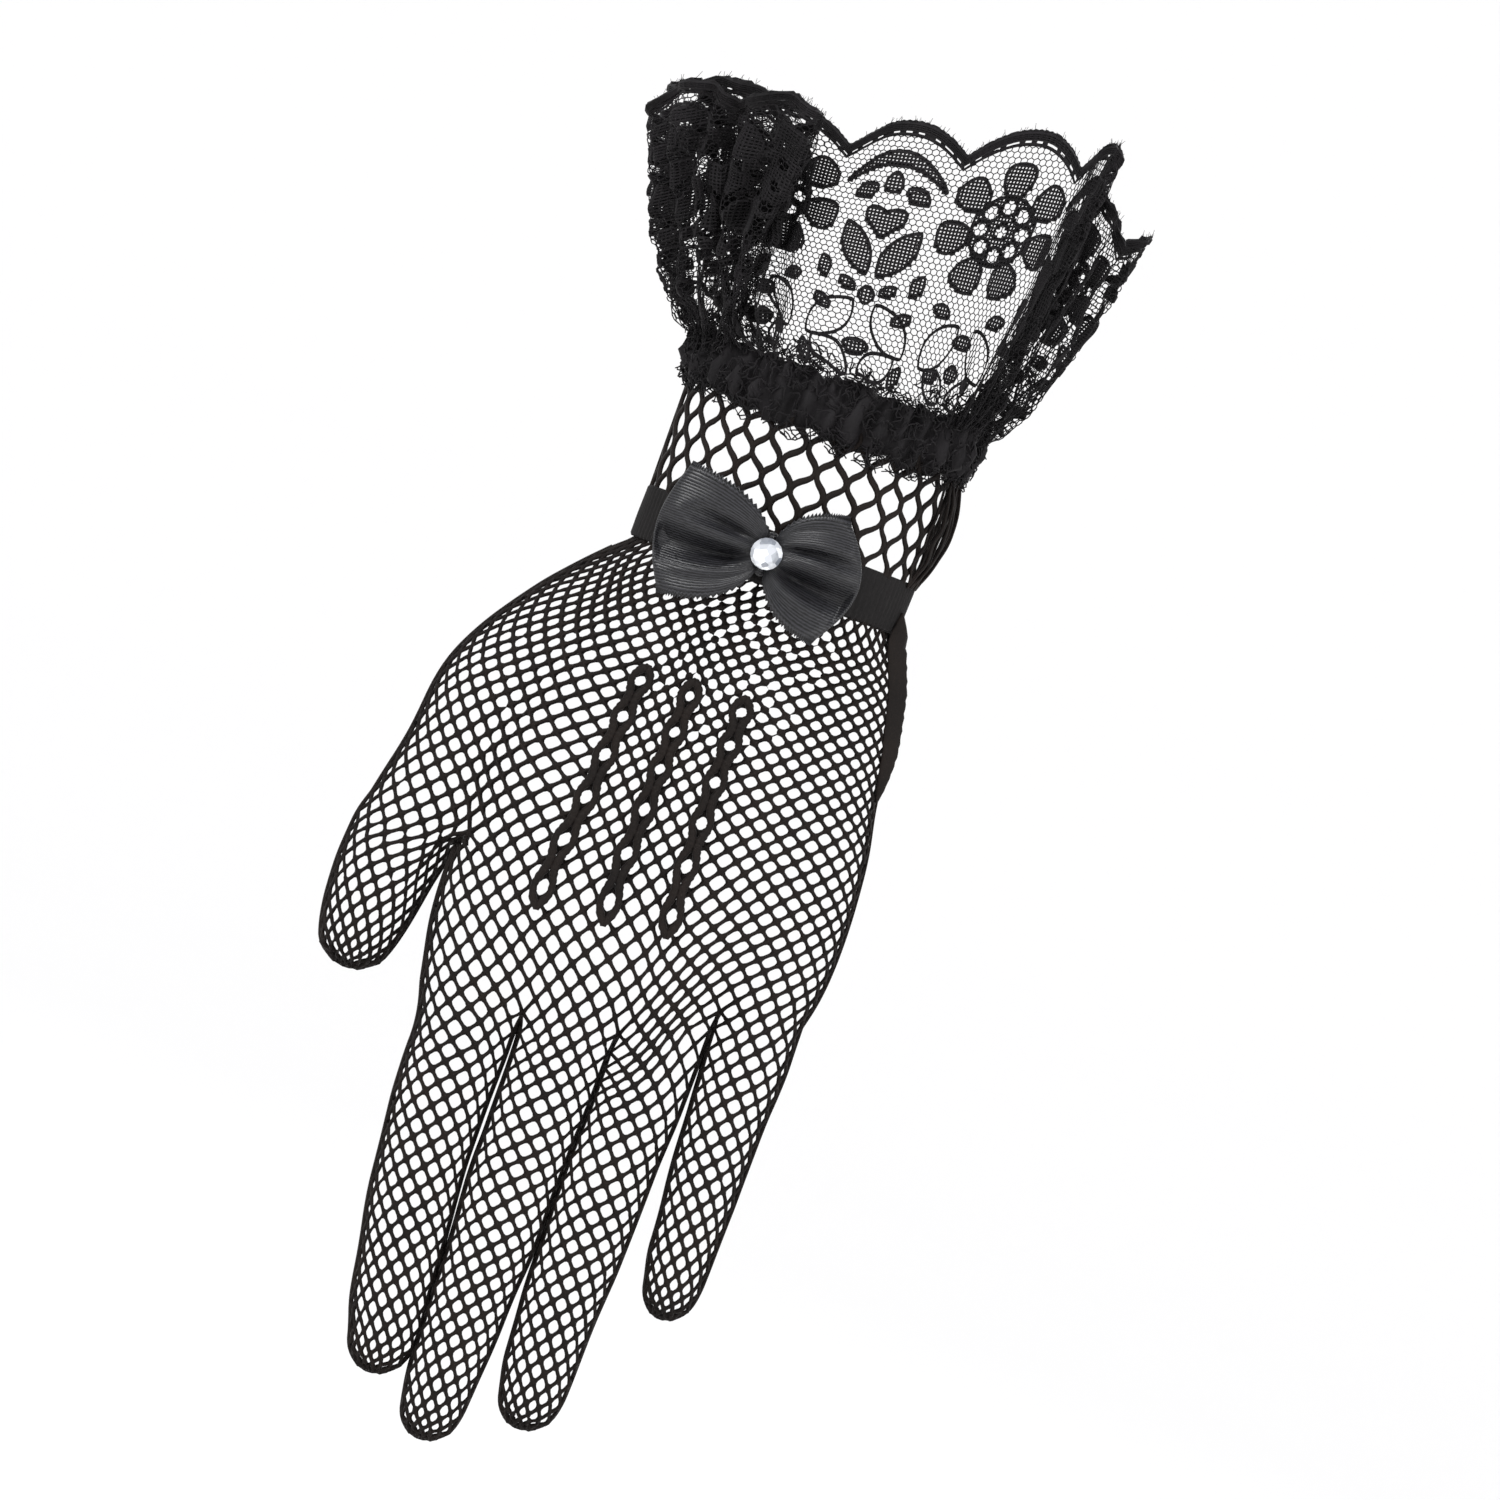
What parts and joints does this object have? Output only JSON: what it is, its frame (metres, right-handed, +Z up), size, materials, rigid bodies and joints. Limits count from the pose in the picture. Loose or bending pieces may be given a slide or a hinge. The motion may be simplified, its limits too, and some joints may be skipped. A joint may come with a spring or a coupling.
{
  "type": "lace glove",
  "caption": "Wrist-length dress glove in diamond net, with a gathered lace frill above the wrist, an open-mesh cuff, a dense band, a satin bow with a faceted stone and raised back chains.",
  "frame": {"origin": "middle of the wrist band, on the axis of the wrist", "axes": "+Z up the forearm, fingers towards -Z; -Y out of the back of the hand and the bow; -X towards the thumb"},
  "size_m": [0.0986, 0.074, 0.2668],
  "materials": {
    "net": "matt black-brown knitted nylon net",
    "elastic": "dense matt black elastic knit",
    "lace": "matt black machine lace",
    "satin": "soft charcoal satin sheen",
    "stone": "clear, faceted, foil backed"
  },
  "bodies": {
    "root": {"hand_net": "net", "index_net": "net", "middle_net": "net", "ring_net": "net", "little_net": "net", "thumb_net": "net", "wrist_band": "elastic", "wrist_mesh": "net", "ruffle_heading": "lace", "lace_ruffle": "lace", "back_chain_1": "net", "back_chain_2": "net", "back_chain_3": "net", "bow_loop_left": "satin", "bow_loop_right": "satin", "bow_knot": "satin", "rhinestone": "stone"}
  },
  "joints": []
}
